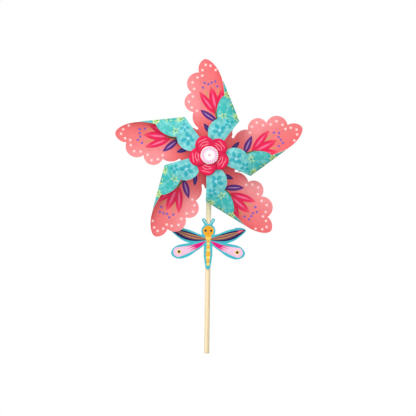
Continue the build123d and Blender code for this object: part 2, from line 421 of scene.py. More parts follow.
def flat_blade():
    """One blade as it is cut, lying flat, with each point's place in the wrap."""
    back = [sheet_place(*p, "back") for p in back_outline()]
    flap = [sheet_place(*p, "flap") for p in flap_outline()[1:]]
    edge = [sheet_place(*p, "back") for p in cut_edge()]
    loop = back + flap + edge
    hole = [sheet_place(*p, "flap") for p in round_about((0, 0), NOSE_HOLE, 0, 360, 0.7)]
    rim = np.array(loop + hole)
    flat_steps, bend_steps = np.arange(0.0, 1.0, 0.035), np.arange(1.0, 3.0, 0.08)
    wrap_steps = np.concatenate((flat_steps, bend_steps, np.arange(3.0, WRAP_PARTS, 0.1)))
    inner = []
    for along in np.arange(-9.0, 106.0, 1.6):
        length = rolled_line(along)[1]
        for wrap in wrap_steps:
            spot = (float(np.interp(wrap, WRAPS, length)), float(along))
            clear = np.min(np.hypot(rim[:, 0] - spot[0], rim[:, 1] - spot[1])) > 0.7
            if clear and inside(spot, loop) and not inside(spot, hole):
                inner.append(spot)
    spots = loop + hole + inner
    links = [(i, (i + 1) % len(loop)) for i in range(len(loop))]
    links += [(len(loop) + i, len(loop) + (i + 1) % len(hole)) for i in range(len(hole))]
    out = delaunay_2d_cdt([Vector(s) for s in spots], links, [], 1, 1e-4)
    corners, faces = out[0], out[2]
    faces = [f for f in faces if not inside(sum((corners[i] for i in f), Vector((0, 0))) / 3, hole)]
    for k, (i, j, m) in enumerate(faces):
        if (corners[j] - corners[i]).cross(corners[m] - corners[i]) < 0:
            faces[k] = (m, j, i)
    mesh = bpy.data.meshes.new("flat_blade")
    mesh.from_pydata([(c.x, c.y, 0.0) for c in corners], [], faces)
    wraps = []
    for c in corners:
        length = rolled_line(c.y)[1]
        wraps.append(float(np.interp(c.x, length, WRAPS)))
    mesh.attributes.new("wrap", "FLOAT", "POINT").data.foreach_set("value", wraps)
    plan = mesh.uv_layers.new(name="print")
    for corner in mesh.loops:
        c = corners[corner.vertex_index]
        plan.data[corner.index].uv = (c.x / 100, c.y / 100)
    return mesh


# --- Geometry Nodes: the wheel's card ---
def between(field, low, high):
    return ((field - low) / (high - low)).share()


def along_roll(along, sizes):
    """A size of the roll, which changes evenly between the three places where it is known."""
    first = between(along, ROLL_AT[0], ROLL_AT[1])
    second = between(along, ROLL_AT[1], ROLL_AT[2])
    return first * (sizes[1] - sizes[0]) + second * (sizes[2] - sizes[1]) + sizes[0]


def pick(tree, index, choices):
    """One of several numbers, by its index."""
    node = tree.nodes.new("GeometryNodeIndexSwitch")
    node.data_type = "FLOAT"
    for _ in range(len(choices) - 2):
        node.index_switch_items.new()
    feed(tree, node.inputs["Index"], index)
    for place, choice in zip(list(node.inputs)[1:], choices):
        feed(tree, place, choice)
    return Field(tree, node.outputs[0])


def copies(tree, geometry, count):
    """Copies of a geometry, each told its own number, joined in one mesh."""
    whole = node_of(tree, "GeometryNodeGeometryToInstance")
    feed(tree, whole.inputs[0], geometry)
    several = node_of(tree, "GeometryNodeDuplicateElements", {"domain": "INSTANCE"}, Amount=count)
    tree.links.new(whole.outputs[0], several.inputs["Geometry"])
    settings = {"data_type": "INT", "domain": "INSTANCE"}
    named = node_of(tree, "GeometryNodeStoreNamedAttribute", settings, Name="number")
    tree.links.new(several.outputs["Geometry"], named.inputs["Geometry"])
    tree.links.new(several.outputs["Duplicate Index"], named.inputs["Value"])
    real = node_of(tree, "GeometryNodeRealizeInstances")
    tree.links.new(named.outputs[0], real.inputs[0])
    number = node_of(tree, "GeometryNodeInputNamedAttribute", {"data_type": "INT"}, Name="number")
    return Field(tree, real.outputs[0]), Field(tree, number.outputs["Attribute"])


def moved_and_stood(tree, geometry, place, at):
    """Points moved to their places in the wheel's own frame, which then stands up facing the front."""
    moved = node_of(tree, "GeometryNodeSetPosition", Geometry=geometry, Position=place)
    stand = node_of(tree, "GeometryNodeTransform", Translation=at)
    stand.inputs["Rotation"].default_value = Euler((math.pi / 2, 0, 0))
    stand.inputs["Scale"].default_value = (MM, MM, MM)
    tree.links.new(moved.outputs[0], stand.inputs["Geometry"])
    return Field(tree, stand.outputs[0])


def give_out(tree, geometry, material, result):
    """Makes the geometry real, gives it its material and hands it to the group's output."""
    real = node_of(tree, "GeometryNodeRealizeInstances", Geometry=geometry)
    painted = node_of(tree, "GeometryNodeSetMaterial", Material=material)
    tree.links.new(real.outputs[0], painted.inputs["Geometry"])
    tree.links.new(painted.outputs[0], result.inputs["Geometry"])


def wheel_card_tree():
    """Curls flat blades and sets them round the hub."""
    floats = {"Roll Edge": ROLL_EDGE, "Card": CARD, "Tip Start": TIP_START, "Tip Step": TIP_STEP}
    floats.update({"Pitch": PITCH, "First Turn": FIRST_TURN})
    floats.update({f"Swing {i + 1}": SWING[i] for i in range(BLADES)})
    inputs = [("Geometry", "NodeSocketGeometry", None), ("Blades", "NodeSocketInt", BLADES)]
    inputs += numbered(floats)
    inputs += [("Hub", "NodeSocketVector", (0.0, 0.0, 0.0)), ("Material", "NodeSocketMaterial", None)]
    outputs = [("Geometry", "NodeSocketGeometry")]
    tree, given, result = new_group("wheel_card", "GeometryNodeTree", inputs, outputs)
    sheet, number = copies(tree, given["Geometry"], given["Blades"])
    place = node_of(tree, "GeometryNodeInputPosition")
    _, along, _ = parts_of(tree, Field(tree, place.outputs[0]))
    wrap_node = node_of(tree, "GeometryNodeInputNamedAttribute", {"data_type": "FLOAT"}, Name="wrap")
    wrap = Field(tree, wrap_node.outputs["Attribute"])
    part = [(wrap - float(k)).share() for k in range(WRAP_PARTS)]
    profiles = (LOWER_WIDTH, LOWER_HEIGHT, UPPER_WIDTH, UPPER_HEIGHT)
    sizes = [along_roll(along, profile) for profile in profiles]
    tip = given["Tip Start"] + given["Tip Step"] * number
    across, forward = rolled(part, sizes, given["Roll Edge"], given["Card"], tip, Field.sin, Field.cos)
    swings = [given[f"Swing {i + 1}"] for i in range(BLADES)]
    own = pick(tree, number, swings)
    following = pick(tree, number, swings[1:] + swings[:1])
    lean = math.atan2(SLOT[1], SLOT[0])
    angle = along.math("ARCTAN2", across)
    toward_next = ((lean - angle) / math.radians(-PITCH)).share()
    web = far(across, along).rise(50.0, 36.4) * wrap.math("LESS_THAN", 1.001)
    turn = given["First Turn"] + given["Pitch"] * number + own + (following - own) * toward_next * web
    turn = turn * math.radians(1.0)
    x = across * turn.cos() - along * turn.sin()
    y = across * turn.sin() + along * turn.cos()
    stood = moved_and_stood(tree, sheet, vector_of(tree, x, y, forward), given["Hub"])
    joined = node_of(tree, "GeometryNodeMergeByDistance", Geometry=stood, Distance=2e-6)
    give_out(tree, Field(tree, joined.outputs[0]), given["Material"], result)
    return tree


# --- shader node groups ---
def noise(tree, spot, scale, detail, **values):
    """A noise, from 0 to 1."""
    node = node_of(tree, "ShaderNodeTexNoise", Vector=spot, Scale=scale, Detail=detail, **values)
    return Field(tree, node.outputs["Fac"])


def board_fibre_group():
    """Paper fibres: a fine height and a slight change of tone."""
    inputs = [("Vector", "NodeSocketVector", None), ("Fibre Size", "NodeSocketFloat", 0.6)]
    outputs = [("Height", "NodeSocketFloat"), ("Tone", "NodeSocketFloat"), ("Roughness", "NodeSocketFloat")]
    tree, given, result = new_group("board_fibre", "ShaderNodeTree", inputs, outputs)
    fine = noise(tree, given["Vector"], 1.0 / given["Fibre Size"], 4.0)
    broad = noise(tree, given["Vector"], 0.12 / given["Fibre Size"], 3.0)
    feed(tree, result.inputs["Height"], fine * 0.7 + broad * 0.3)
    feed(tree, result.inputs["Tone"], (fine - 0.5) * 0.10 + (broad - 0.5) * 0.16 + 1.0)
    feed(tree, result.inputs["Roughness"], (fine - 0.5) * 0.10 + (broad - 0.5) * 0.08)
    return tree


def mark_group(name, numbers, outputs):
    """A group for a mark that starts at a root, heads somewhere and may bend, with a place in the mark."""
    first = {"Root X": 0.0, "Root Y": 0.0, "Heading": 90.0, "Length": 10.0, **numbers}
    inputs = [("Vector", "NodeSocketVector", None)] + numbered(first)
    outputs = [(label, "NodeSocketFloat") for label in outputs]
    tree, given, result = new_group(name, "ShaderNodeTree", inputs, outputs)
    x, y, _ = parts_of(tree, given["Vector"])
    x = x - given["Root X"]
    y = y - given["Root Y"]
    heading = given["Heading"] * math.radians(1.0)
    c, s = heading.cos(), heading.sin()
    reach = x * c + y * s
    along = (reach / given["Length"]).share()
    side = y * c - x * s - given["Bend"] * along * (1.0 - along) * 4.0
    return tree, given, result, reach, along, side


def petal_mark_group():
    """A painted petal, leaf or stroke: pointed at both ends, with a place along it and across it."""
    numbers = {"Width": 3.0, "Fullness": 1.0, "Bend": 0.0, "Soft": 0.25}
    marks = mark_group("petal_mark", numbers, ("Mask", "Along", "Across"))
    tree, given, result, _, along, side = marks
    half = ((along ** given["Fullness"]) * math.pi).sin().share() ** 0.75 * given["Width"] * 0.5
    feed(tree, result.inputs["Mask"], ((half - side.size()) / given["Soft"]).share())
    feed(tree, result.inputs["Along"], along)
    feed(tree, result.inputs["Across"], side / (half + 0.05))
    return tree


def teardrop_group():
    """A painted drop or finger: round at both ends, with its own radius at each."""
    numbers = {"Root Radius": 1.0, "Tip Radius": 2.0, "Bend": 0.0, "Soft": 0.3}
    tree, given, result, reach, along, side = mark_group("teardrop", numbers, ("Mask",))
    past = reach - along * given["Length"]
    radius = given["Root Radius"] + (given["Tip Radius"] - given["Root Radius"]) * along
    feed(tree, result.inputs["Mask"], ((radius - far(side, past)) / given["Soft"]).share())
    return tree


def blossom_scatter_group():
    """Small flowers strewn over a sheet: one in each cell, with its own turn and size."""
    inputs = [("Vector", "NodeSocketVector", None)]
    inputs += numbered({"Spacing": 14.0, "Reach": 5.0, "Petals": 5.0})
    outputs = [("Mask", "NodeSocketFloat"), ("Middle", "NodeSocketFloat"), ("Kind", "NodeSocketFloat")]
    tree, given, result = new_group("blossom_scatter", "ShaderNodeTree", inputs, outputs)
    settings = {"voronoi_dimensions": "2D"}
    scale = 1.0 / given["Spacing"]
    cells = node_of(tree, "ShaderNodeTexVoronoi", settings, Vector=given["Vector"], Scale=scale)
    cells.inputs["Randomness"].default_value = 0.7
    own = node_of(tree, "ShaderNodeVectorMath", {"operation": "SUBTRACT"})
    feed(tree, own.inputs[0], given["Vector"])
    tree.links.new(cells.outputs["Position"], own.inputs[1])
    x, y, _ = parts_of(tree, Field(tree, own.outputs[0]))
    turn, kind, size = parts_of(tree, Field(tree, cells.outputs["Color"]))
    away = far(x, y)
    lobe = ((y.math("ARCTAN2", x) + turn * math.tau) * given["Petals"]).cos() * 0.5 + 0.5
    edge = given["Reach"] * (size * 0.4 + 0.7) * (lobe ** 0.7 * 0.72 + 0.28)
    feed(tree, result.inputs["Mask"], (edge - away).rise(-0.15, 0.35) * away.rise(0.9, 1.4))
    feed(tree, result.inputs["Middle"], away.rise(1.3, 0.8))
    feed(tree, result.inputs["Kind"], kind)
    return tree


def painted_tone_group():
    """The uneven, brushed look of painted colour: patches and streaks, about 1."""
    inputs = [("Vector", "NodeSocketVector", None)] + numbered({"Patch Size": 6.0, "Strength": 0.2})
    outputs = [("Tone", "NodeSocketFloat"), ("Patch", "NodeSocketFloat")]
    tree, given, result = new_group("painted_tone", "ShaderNodeTree", inputs, outputs)
    value = noise(tree, given["Vector"], 1.0 / given["Patch Size"], 3.0, Distortion=0.6)
    feed(tree, result.inputs["Tone"], (value - 0.5) * given["Strength"] * 2.0 + 1.0)
    feed(tree, result.inputs["Patch"], value.rise(0.42, 0.62))
    return tree


BOARD_FIBRE = board_fibre_group()
PETAL_MARK = petal_mark_group()
TEARDROP = teardrop_group()
BLOSSOM_SCATTER = blossom_scatter_group()
PAINTED_TONE = painted_tone_group()


# --- materials ---
class Finish:
    """A material being made: its tree, its colour so far and its shader."""

    def __init__(self, name, base, roughness=0.5, specular=0.5):
        self.material = bpy.data.materials.new(name)
        self.material.use_nodes = True
        self.tree = self.material.node_tree
        self.shader = self.tree.nodes["Principled BSDF"]
        self.shader.inputs["Roughness"].default_value = roughness
        self.shader.inputs["Specular IOR Level"].default_value = specular
        self.colour = base

    def coordinates(self, output="Object"):
        node = node_of(self.tree, "ShaderNodeTexCoord")
        return Field(self.tree, node.outputs[output])

    def millimetres(self, centre=(0.0, 0.0, 0.0)):
        """Object coordinates in millimetres from a centre."""
        shift = [-c / MM for c in centre]
        node = node_of(self.tree, "ShaderNodeMapping", Vector=self.coordinates())
        node.inputs["Location"].default_value = shift
        node.inputs["Scale"].default_value = (1 / MM,) * 3
        return Field(self.tree, node.outputs[0])

    def printed(self, layer="print"):
        """The flat sheet's own coordinates, in millimetres."""
        node = node_of(self.tree, "ShaderNodeUVMap", {"uv_map": layer})
        scale = node_of(self.tree, "ShaderNodeMapping", Vector=Field(self.tree, node.outputs[0]))
        scale.inputs["Scale"].default_value = (100.0,) * 3
        return Field(self.tree, scale.outputs[0])

    def lay(self, colour, mask):
        """Lays a colour over what is there, where the mask is 1."""
        mix = self.tree.nodes.new("ShaderNodeMix")
        mix.data_type = "RGBA"
        feed(self.tree, mix.inputs[0], mask)
        feed(self.tree, mix.inputs[6], self.colour)
        feed(self.tree, mix.inputs[7], colour)
        self.colour = Field(self.tree, mix.outputs[2])

    def tone(self, factor):
        """Makes the colour so far lighter or darker."""
        mix = self.tree.nodes.new("ShaderNodeVectorMath")
        mix.operation = "SCALE"
        if isinstance(self.colour, Field):
            feed(self.tree, mix.inputs[0], self.colour)
        else:
            mix.inputs[0].default_value = self.colour[:3]
        feed(self.tree, mix.inputs["Scale"], factor)
        self.colour = Field(self.tree, mix.outputs[0])

    def group(self, group, **values):
        node = node_of(self.tree, "ShaderNodeGroup", {"node_tree": group}, **values)
        return {s.name: Field(self.tree, s) for s in node.outputs}

    def stroke(self, group, spot, root, tip, **values):
        """A mark of some kind from its root to its tip."""
        dx, dy = tip[0] - root[0], tip[1] - root[1]
        values.update(Root_X=root[0], Root_Y=root[1])
        values.update(Heading=math.degrees(math.atan2(dy, dx)), Length=math.hypot(dx, dy))
        return self.group(group, Vector=spot, **values)

    def mark(self, spot, root, tip, width, fullness=1.0, bend=0.0, soft=0.3):
        """A petal mark, pointed at both ends."""
        size = {"Width": width, "Fullness": fullness}
        return self.stroke(PETAL_MARK, spot, root, tip, Bend=bend, Soft=soft, **size)

    def drop(self, spot, root, tip, radii, bend=0.0, soft=0.3):
        """A drop, with a radius at its root and at its tip."""
        size = {"Root_Radius": radii[0], "Tip_Radius": radii[1]}
        return self.stroke(TEARDROP, spot, root, tip, Bend=bend, Soft=soft, **size)

    def near(self, spot, places):
        """How far a spot is from the nearest of several places."""
        nearest = None
        for x, y in places:
            node = node_of(self.tree, "ShaderNodeVectorMath", {"operation": "DISTANCE"})
            feed(self.tree, node.inputs[0], spot)
            node.inputs[1].default_value = (x, y, 0.0)
            reach = Field(self.tree, node.outputs["Value"])
            nearest = reach if nearest is None else nearest.math("MINIMUM", reach)
        return nearest

    def bump(self, height, depth, strength=0.4):
        node = node_of(self.tree, "ShaderNodeBump", Height=height, Strength=strength, Distance=depth)
        feed(self.tree, self.shader.inputs["Normal"], Field(self.tree, node.outputs[0]))

    def board(self, spot, size=0.6, depth=0.00004, roughness=0.45):
        """Card fibres under the print."""
        fibre = self.group(BOARD_FIBRE, Vector=spot, Fibre_Size=size)
        self.tone(fibre["Tone"])
        feed(self.tree, self.shader.inputs["Roughness"], fibre["Roughness"] + roughness)
        self.bump(fibre["Height"], depth)

    def done(self):
        feed(self.tree, self.shader.inputs["Base Color"], self.colour)
        return self.material


def blade_front():
    """Coral side: a tulip, leaves, stamens and a row of pale dots along the scallops; painted light towards
    the rim, painted shade towards the roll and the hub.
    """
    f = Finish("coral_print", CORAL, specular=0.16)
    spot = f.printed()
    x, y, _ = parts_of(f.tree, spot)
    brushed = f.group(PAINTED_TONE, Vector=spot, Patch_Size=9.0, Strength=0.10)
    speckled = f.group(PAINTED_TONE, Vector=spot, Patch_Size=1.6, Strength=0.09)
    # painted light: the coral is painted paler on the flat part by the scalloped rim, towards the tip
    f.lay(LIT_CORAL, (x.rise(30.0, 2.0) * 0.8 * y.rise(30.0, 60.0)).share())
    # deeper coral towards the hub: partly the print's own deeper tone, partly painted shade under the flaps
    f.lay(SHADED_CORAL, far(x, y).rise(60.0, 28.0) * 0.3)
    # painted shade: deeper coral towards the roll, where the card curls up away from the light
    f.lay(SHADED_CORAL, x.rise(28.0, 52.0) * 0.6)
    f.tone(brushed["Tone"] * speckled["Tone"])
    stamens = (((25.0, 58.0), (22.5, 76.5)), ((29.5, 58.0), (33.5, 76.0)), ((34.5, 60.0), (39.0, 70.0)))
    for root, tip in stamens:
        stamen = f.mark(spot, root, tip, 3.6, soft=1.6)
        f.lay(OLIVE, stamen["Mask"] * 0.7)
    specks = ((25.9, 80.2), (22.1, 75.9), (29.5, 77.1), (33.6, 77.4), (38.0, 77.0), (38.2, 71.0))
    f.lay(CORNFLOWER, f.near(spot, specks).rise(1.7, 1.0) * 0.95)
    bristle = f.group(PAINTED_TONE, Vector=spot, Patch_Size=1.1, Strength=0.3)
    petals = (
        ((26.2, 42.4), (42.6, 66.4), 9.4, -0.9),
        ((26.0, 41.2), (16.8, 73.2), 9.0, 0.9),
        ((26.0, 40.6), (31.4, 73.8), 10.4, 0.3),
        ((26.6, 42.0), (37.6, 57.6), 7.6, 0.0),
    )
    for root, tip, width, bend in petals:
        petal = f.mark(spot, root, tip, width, 0.92, bend)
        f.lay(TULIP, petal["Mask"])
        side, along = petal["Across"].size(), petal["Along"]
        f.lay(CORAL, petal["Mask"] * along.rise(0.72, 1.0) * 0.4)
        f.lay(RUBY, petal["Mask"] * side.rise(0.6, 0.95) * 0.42)
        streak = side.rise(0.34, 0.05) * along.rise(0.16, 0.4) * along.rise(0.88, 0.55)
        f.lay(ROSE, streak * petal["Mask"] * (bristle["Patch"] * 0.3 + 0.68))
    stem = f.mark(spot, (21.5, 32.5), (26.6, 49.0), 2.2, 0.8, -0.6)
    f.lay(LEAF_GREEN, stem["Mask"])
    leaves = (
        ((22.8, 33.0), (10.0, 53.2), 7.6, PURPLE, LILAC),
        ((11.4, 22.0), (7.6, 37.6), 5.6, NIGHT, CORNFLOWER),
    )
    for root, tip, width, colour, vein in leaves:
        leaf = f.mark(spot, root, tip, width, 0.95, 0.3)
        f.lay(colour, leaf["Mask"])
        across, along = leaf["Across"].size(), leaf["Along"]
        line = across.rise(0.26, 0.04) * along.rise(0.14, 0.34) * along.rise(0.88, 0.6)
        f.lay(vein, line * leaf["Mask"] * (bristle["Patch"] * 0.3 + 0.65))
    dots = (
        (34.7, 98.9), (29.1, 94.6), (39.6, 96.0), (43.4, 89.1), (20.6, 88.9), (26.6, 88.9),
        (13.3, 85.8), (12.2, 78.2), (7.8, 70.5), (1.2, 66.7), (1.7, 59.3), (5.8, 53.5),
    )
    f.lay(WHITE_INK, f.near(spot, dots).rise(2.0, 0.7) * 0.85)
    f.board(spot, 0.5, roughness=0.42)
    return f.done()


def on_flap(across, along):
    return sheet_place(across, along, "flap")


def sprig(f, spot, middle, headings, lengths, width, colour, soft=0.5):
    """Painted petals about a place on the flap; their headings are as the finished blade shows them."""
    centre = on_flap(*middle)
    for heading, length in zip(headings, lengths):
        c, s = -math.cos(math.radians(heading)), math.sin(math.radians(heading))
        root = (centre[0] + c * length * 0.1, centre[1] + s * length * 0.1)
        tip = (centre[0] + c * length, centre[1] + s * length)
        petal = f.mark(spot, root, tip, width, 1.15, soft=soft)
        f.lay(colour, petal["Mask"] * 0.88)


def blade_back():
    """Teal side: dark sprigs, primroses and painted mottling, with a painted sheen that pales the lobe near
    the hub.
    """
    f = Finish("teal_print", TEAL, specular=0.25)
    spot = f.printed()
    x, _, _ = parts_of(f.tree, spot)
    broad = f.group(PAINTED_TONE, Vector=spot, Patch_Size=6.0, Strength=0.16)
    fine = f.group(PAINTED_TONE, Vector=spot, Patch_Size=2.6, Strength=0.10)
    f.lay(MINT, broad["Patch"] * 0.35)
    # painted light: the teal is painted paler over the flap's lobe near the hub, as a sheen
    middle = f.near(spot, (on_flap(21.3, 22.0),))
    f.lay(PALE_TEAL, middle.rise(26.0, 6.0) * 0.32)
    f.lay(PALE_TEAL, fine["Patch"] * broad["Patch"] * 0.3)
    strewn = f.group(BLOSSOM_SCATTER, Vector=spot, Spacing=13.0, Reach=5.4)
    behind = x.rise(58.0, 54.0)
    f.lay(SEA, strewn["Mask"] * strewn["Kind"].rise(0.45, 0.44) * behind * 0.85)
    f.lay(PRIMROSE, strewn["Mask"] * strewn["Kind"].rise(0.44, 0.45) * behind * 0.85)
    f.lay(LEAF_GREEN, strewn["Middle"] * behind * 0.6)
    sprig(f, spot, (21.3, 22.0), (12, 92, 172, 245, 310), (8.4, 8.8, 8.6, 7.8, 5.0), 4.9, SEA)
    sprig(f, spot, (35.0, 24.6), (105, 170, 240, 20), (6.4, 6.4, 6.0, 5.2), 3.6, SEA)
    f.lay(PALE_TEAL, f.near(spot, (on_flap(21.3, 22.0),)).rise(2.2, 1.0) * 0.8)
    f.lay(PALE_TEAL, f.near(spot, (on_flap(35.0, 24.6),)).rise(1.3, 0.7) * 0.6)
    primroses = (
        ((31.4, 35.8), (20, 88, 150, 215, 300), (5.2, 4.2, 5.6, 4.4, 4.8)),
        ((43.8, 28.4), (70, 120, 190, 262), (4.4, 4.8, 3.0, 4.6)),
        ((44.8, 43.0), (62, 110, 250), (4.6, 3.6, 5.0)),
        ((45.4, 56.0), (80, 130, 280), (3.8, 2.8, 4.0)),
    )
    for place, headings, lengths in primroses:
        sprig(f, spot, place, headings, lengths, 1.8, PRIMROSE, soft=0.4)
        f.lay(LEAF_GREEN, f.near(spot, (on_flap(*place),)).rise(1.4, 0.7) * 0.75)
    specks = (on_flap(40.0, 42.2), on_flap(37.0, 33.0), on_flap(26.5, 31.0))
    f.lay(LEAF_GREEN, f.near(spot, specks).rise(1.3, 0.6) * 0.55)
    f.tone(broad["Tone"] * fine["Tone"])
    f.board(spot, 0.5, roughness=0.36)
    return f.done()


def bare_board():
    """The card's cut edge."""
    f = Finish("bare_board", BOARD, specular=0.3)
    f.board(f.millimetres(), 0.35, roughness=0.65)
    return f.done()


def wheel_card():
    faces = [blade_front(), blade_back(), bare_board()]
    tree = wheel_card_tree()
    values = {"Hub": HUB[:], "Material": faces[0]}
    mesh = run_tree("pinwheel_card_print", tree, flat_blade(), values, faces)
    piece = bpy.data.objects.new("pinwheel_card_print", mesh)
    bpy.context.scene.collection.objects.link(piece)
    wall = piece.modifiers.new("card", "SOLIDIFY")
    wall.thickness = CARD * MM
    wall.offset = 0.0
    wall.use_even_offset = False
    wall.material_offset = 1
    wall.material_offset_rim = 2
    solid = bpy.data.meshes.new_from_object(piece.evaluated_get(bpy.context.evaluated_depsgraph_get()))
    bpy.data.objects.remove(piece)
    solid.name = "pinwheel_card_print"
    solid.polygons.foreach_set("use_smooth", [True] * len(solid.polygons))
    solid.set_sharp_from_angle(angle=math.radians(40))
    return place_piece("pinwheel_card_print", solid, "wheel", "pinwheel_card")


def flower_paint():
    """Crimson petals with pale curved strokes; painted shade where one petal dips under the next, towards
    the hub and beside each stroke.
    """
    f = Finish("flower_paint", CRIMSON, specular=0.16)
    spot = f.printed("petal")
    x, y, _ = parts_of(f.tree, spot)
    tone = f.group(PAINTED_TONE, Vector=spot, Patch_Size=4.0, Strength=0.14)
    # painted shade: darker on the side where a petal dips under the next, and towards the hub where the
    # petals lie under one another
    f.lay(RUBY, y.rise(4.0, 10.5) * 0.6)
    f.lay(RUBY, x.rise(-2.0, -7.0) * 0.45)
    reach = far(x + 8.0, y)
    spread = y.size()
    for radius, half_length in ((5.8, 3.8), (8.6, 5.6), (11.4, 6.8), (14.6, 6.4)):
        wave = (y * 0.7 + radius).sin() * 0.35
        from_line = reach - radius + wave
        # painted shade: a darker band beside each pale stroke, as if the strokes were raised ridges
        shade = (from_line + 1.0).size().rise(0.8, 0.1) * spread.rise(half_length, half_length * 0.6)
        f.lay(RUBY, shade * 0.5)
        stroke = from_line.size().rise(0.62, 0.18) * spread.rise(half_length, half_length * 0.55)
        f.lay(BLUSH, stroke * 0.78)
    f.tone(tone["Tone"])
    f.board(spot, 0.5, roughness=0.4)
    return f.done()


def petal_shell(radius, height):
    """A thin round petal with a soft edge, lying flat, with its own coordinates for the paint."""
    shape = (
        (0.0, 0.72), (0.45, 0.9), (0.72, 1.0), (0.88, 0.94), (0.96, 0.72),
        (1.0, 0.4), (0.985, 0.12), (0.95, 0.0), (0.5, 0.0),
    )
    spokes = 56
    points = [(0.0, 0.0, shape[0][1] * height)]
    for reach, level in shape[1:]:
        for k in range(spokes):
            angle = math.tau * k / spokes
            wavy = 1 + 0.012 * math.sin(3 * angle + 0.6) * reach
            away = radius * reach * wavy
            points.append((away * math.cos(angle), away * math.sin(angle), level * height))
    points.append((0.0, 0.0, 0.0))
    faces = [(0, 1 + k, 1 + (k + 1) % spokes) for k in range(spokes)]
    for row in range(len(shape) - 2):
        start = 1 + row * spokes
        for k in range(spokes):
            after = (k + 1) % spokes
            faces.append((start + k, start + spokes + k, start + spokes + after, start + after))
    last = 1 + (len(shape) - 2) * spokes
    faces += [(last + (k + 1) % spokes, last + k, len(points) - 1) for k in range(spokes)]
    mesh = bpy.data.meshes.new("petal_shell")
    mesh.from_pydata(points, [], faces)
    own = mesh.uv_layers.new(name="petal")
    for corner in mesh.loops:
        x, y, _ = points[corner.vertex_index]
        own.data[corner.index].uv = (x / 100, y / 100)
    return mesh


def flower_tree():
    """Sets petals round the hub, each one tilted over the next."""
    floats = {"Reach": 12.4, "First Petal": 116.0, "Pitch": PITCH}
    floats.update({"Tilt": 3.2, "Unevenness": 2.0, "Lift": 0.6})
    inputs = [("Geometry", "NodeSocketGeometry", None)]
    inputs += [("Petals", "NodeSocketInt", 5), ("Seed", "NodeSocketInt", 4)]
    inputs += numbered(floats)
    inputs += [("Stand At", "NodeSocketVector", (0.0, 0.0, 0.0)), ("Material", "NodeSocketMaterial", None)]
    outputs = [("Geometry", "NodeSocketGeometry")]
    tree, given, result = new_group("hub_flower", "GeometryNodeTree", inputs, outputs)
    petals, number = copies(tree, given["Geometry"], given["Petals"])
    place = node_of(tree, "GeometryNodeInputPosition")
    x, y, z = parts_of(tree, Field(tree, place.outputs[0]))
    chance = node_of(tree, "FunctionNodeRandomValue", {"data_type": "FLOAT"})
    feed(tree, chance.inputs[2], given["Unevenness"] * -1.0)
    feed(tree, chance.inputs[3], given["Unevenness"])
    feed(tree, chance.inputs["ID"], number)
    feed(tree, chance.inputs["Seed"], given["Seed"])
    tilt = given["Tilt"] * math.radians(1.0)
    side = y * tilt.cos() - z * tilt.sin()
    forward = y * tilt.sin() + z * tilt.cos() + given["Lift"]
    out = x + given["Reach"]
    turn = given["First Petal"] + given["Pitch"] * number + Field(tree, chance.outputs[1])
    turn = turn * math.radians(1.0)
    right = out * turn.cos() - side * turn.sin()
    up = out * turn.sin() + side * turn.cos()
    stood = moved_and_stood(tree, petals, vector_of(tree, right, up, forward), given["Stand At"])
    give_out(tree, stood, given["Material"], result)
    return tree


def hub_flower():
    paint = flower_paint()
    stand_at = (HUB.x, flower_high.y - 0.05 * MM, HUB.z)
    values = {"Stand At": stand_at, "Material": paint}
    mesh = run_tree("hub_flower_petals", flower_tree(), petal_shell(10.8, 1.0), values, [paint])
    mesh.polygons.foreach_set("use_smooth", [True] * len(mesh.polygons))
    return place_piece("hub_flower_petals", mesh, "wheel", "hub_flower")


def label_print():
    """White label with a ring of small strokes and a pale middle."""
    f = Finish("label_print", LABEL_WHITE, specular=0.4)
    spot = f.millimetres((HUB.x, head_low.y, HUB.z))
    x, _, z = parts_of(f.tree, spot)
    reach = far(x, z)
    angle = z.math("ARCTAN2", x)
    comb = (angle * 23.0).cos()
    f.lay(LABEL_PINK, comb.rise(-0.85, 0.0) * reach.rise(5.9, 6.7) * reach.rise(9.7, 9.1) * 0.85)
    f.lay(LABEL_PINK, (reach - 5.8).size().rise(0.6, 0.1) * 0.35)
    f.lay(LABEL_PINK, (reach - 3.4).size().rise(0.5, 0.1) * (angle * 11.0).sin().rise(-0.2, 0.8) * 0.3)
    f.lay(LABEL_PINK, reach.rise(2.0, 1.0) * 0.7)
    f.board(spot, 0.4, roughness=0.35)
    return f.done()


def paint_lower_wings(f, half):
    """Pale wings with fingers of magenta and a ringed spot near the tip."""
    broad = f.drop(half, (9.0, -15.6), (34.4, -24.5), (2.2, 5.9), -0.9)
    narrow = f.drop(half, (3.0, -11.8), (9.6, -15.8), (0.5, 2.4))
    inside_wing = broad["Mask"].math("MAXIMUM", narrow["Mask"])
    f.lay(PALE_PINK, inside_wing)
    for tip in ((27.0, -18.6), (25.0, -21.2), (22.4, -23.6), (18.4, -24.0)):
        finger = f.drop(half, (5.0, -12.8), tip, (1.9, 0.2), -0.3, 0.35)
        f.lay(MAGENTA, finger["Mask"] * inside_wing)
    f.lay(MAGENTA, inside_wing * parts_of(f.tree, half)[0].rise(13.0, 9.5))
    away = f.near(half, ((33.6, -24.2),))
    f.lay(STRAW, away.rise(3.0, 2.1))
    f.lay(INK_BLACK, away.rise(1.75, 1.15))


def paint_upper_wings(f, half):
    """Dark wings with a brown field, thin orange lines and a magenta tip."""
    wing = f.mark(half, (0.2, -9.8), (42.6, 1.9), 9.9, 1.15, -2.4, 0.3)
    f.lay(NAVY, wing["Mask"])
    field = f.mark(half, (0.2, -9.2), (38.6, 0.8), 5.8, 1.0, -2.5, 0.3)
    f.lay(COCOA, field["Mask"])
    f.lay(NAVY, field["Mask"] * (field["Across"] * 6.4 + 0.4).sin().rise(0.2, 0.8) * 0.7)
    f.lay(APRICOT, field["Mask"] * (field["Across"] * 6.4 + 2.6).sin().rise(0.74, 0.97))
    tip = f.drop(half, (35.0, -0.6), (40.4, 1.2), (1.9, 0.9), 0.2)
    f.lay(MAGENTA, tip["Mask"])
    f.lay(APRICOT, f.mark(half, (33.0, -1.8), (40.2, 1.1), 1.3)["Mask"])


